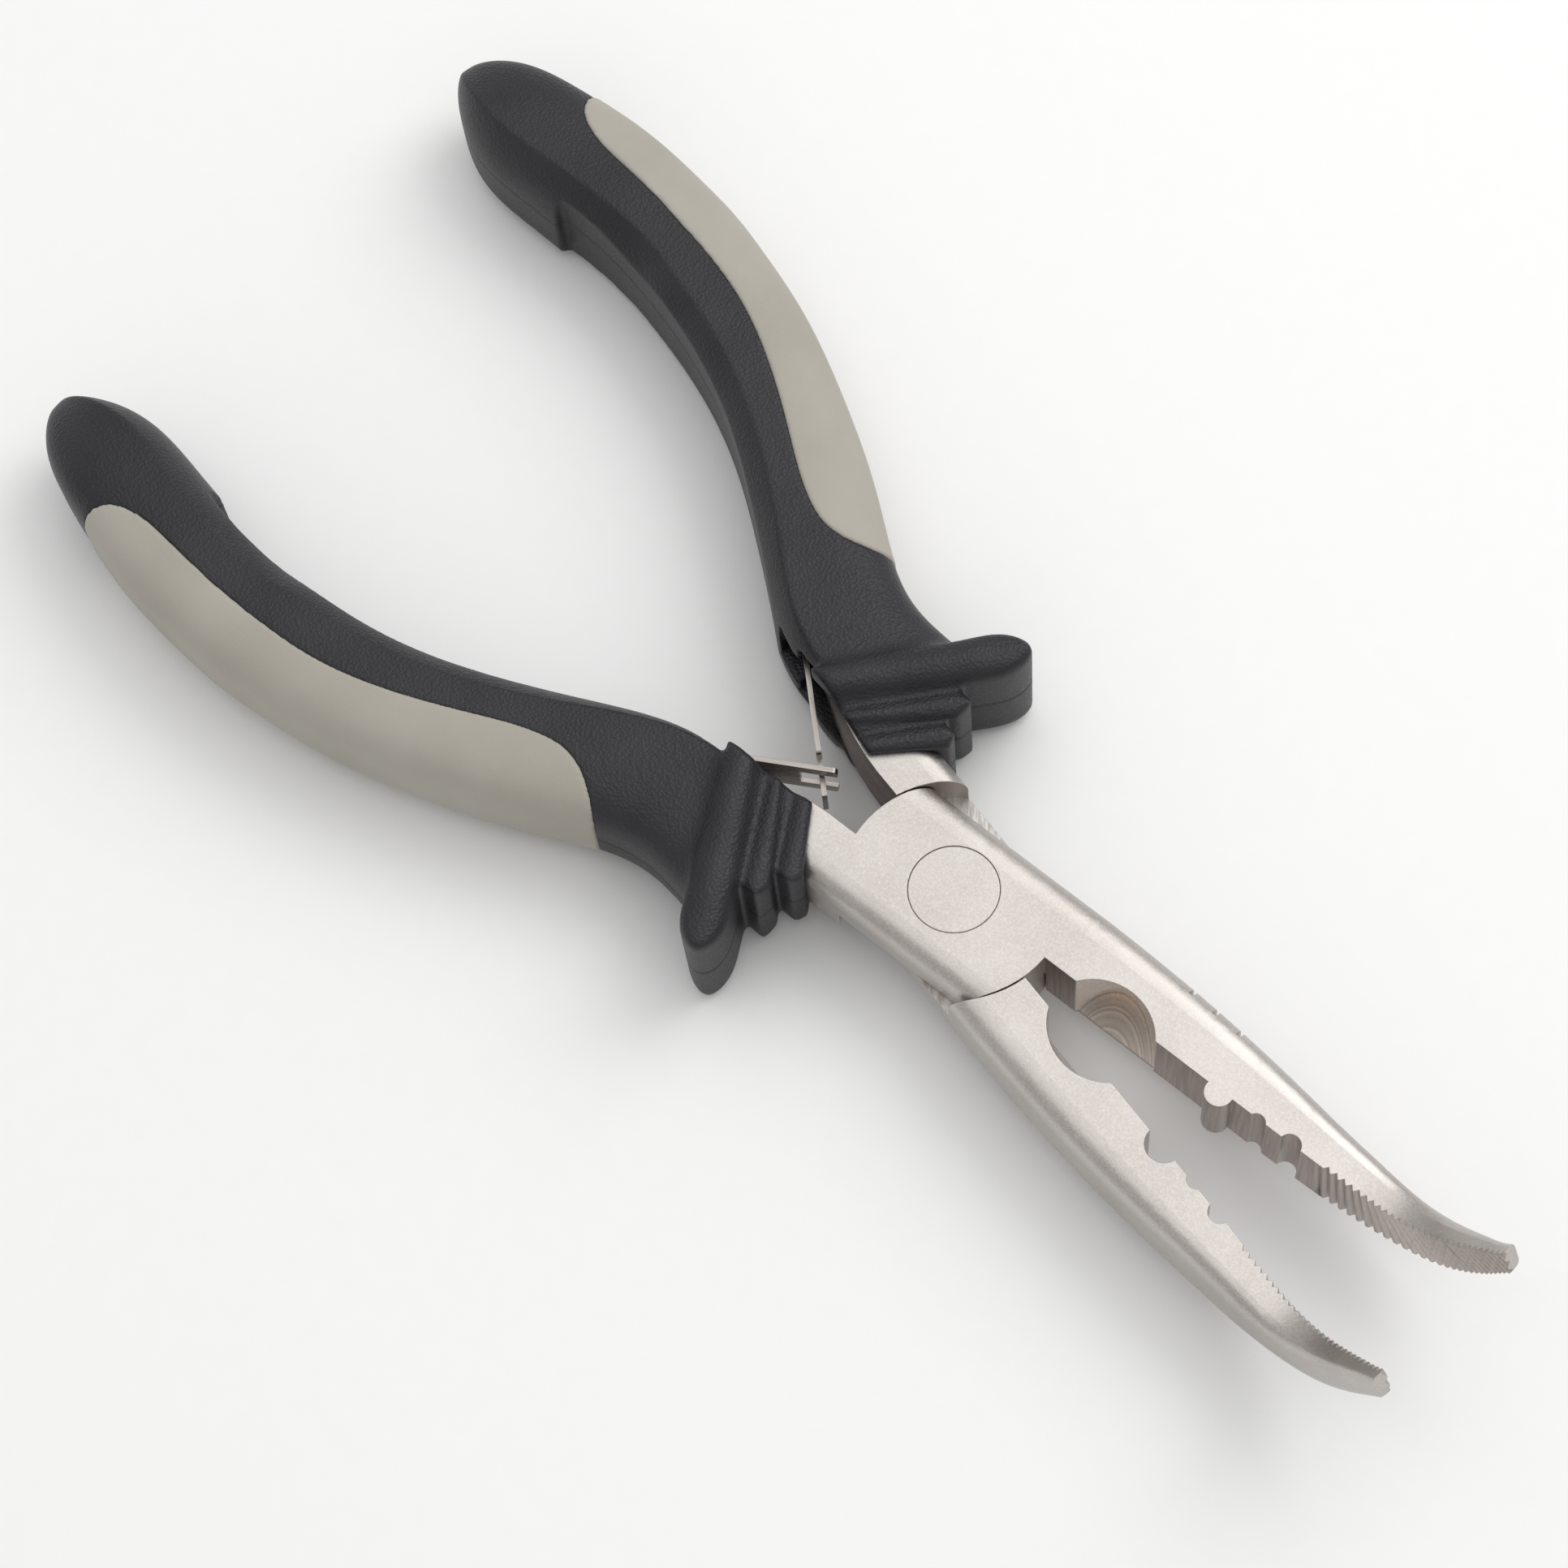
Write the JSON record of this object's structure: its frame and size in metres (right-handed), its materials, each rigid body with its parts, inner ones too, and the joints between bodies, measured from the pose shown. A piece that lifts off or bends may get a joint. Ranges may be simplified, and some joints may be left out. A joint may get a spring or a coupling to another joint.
{
  "type": "fishing pliers",
  "caption": "Spring-loaded lap-joint pliers with bent-up serrated noses, a side cutter, crimping notches and moulded two-tone grips with thumb guards.",
  "frame": {"origin": "on the pivot axis, at the flat lower face of the lap joint", "axes": "+X along the centre line towards the jaw tips, +Z along the pivot axis towards the side that the noses bend to"},
  "size_m": [0.1602, 0.0694, 0.0232],
  "materials": {
    "satin_steel": "bead-blasted satin nickel",
    "rivet_steel": "ground flush, satin nickel",
    "spring_steel": "rolled spring steel",
    "black_elastomer": "fine grain, matt",
    "grey_elastomer": "smooth, matt, warm grey"
  },
  "bodies": {
    "half_a": {"jaw_half_a": "satin_steel", "pivot_rivet": "rivet_steel", "grip_body_a": "black_elastomer", "grip_inlay_a": "grey_elastomer", "spring_rivet_a": "rivet_steel"},
    "half_b": {"jaw_half_b": "satin_steel", "grip_body_b": "black_elastomer", "grip_inlay_b": "grey_elastomer", "spring_rivet_b": "rivet_steel"},
    "leaf_a": {"leaf_spring_a": "spring_steel"},
    "leaf_b": {"leaf_spring_b": "spring_steel"}
  },
  "joints": [
    {"name": "jaw_pivot", "type": "hinge", "parent": "half_a", "child": "half_b", "pos_m": [0, 0, 0], "axis": [0, 0, 1], "range_deg": [-4, 13.5], "stiffness_Nm_per_rad": 1.6},
    {"name": "leaf_a_flex", "type": "hinge", "parent": "half_a", "child": "leaf_a", "pos_m": [-0.02831, -0.00758, 0.00425], "axis": [0, 0, 1], "range_deg": [-10.4, 3.2]},
    {"name": "leaf_b_flex", "type": "hinge", "parent": "half_b", "child": "leaf_b", "pos_m": [-0.02831, 0.00758, 0.00425], "axis": [0, 0, 1], "range_deg": [-3.2, 10.4]}
  ],
  "couplings": [
    {"joint": "leaf_a_flex", "follows": "jaw_pivot", "ratio": -0.76},
    {"joint": "leaf_b_flex", "follows": "jaw_pivot", "ratio": 0.76}
  ]
}
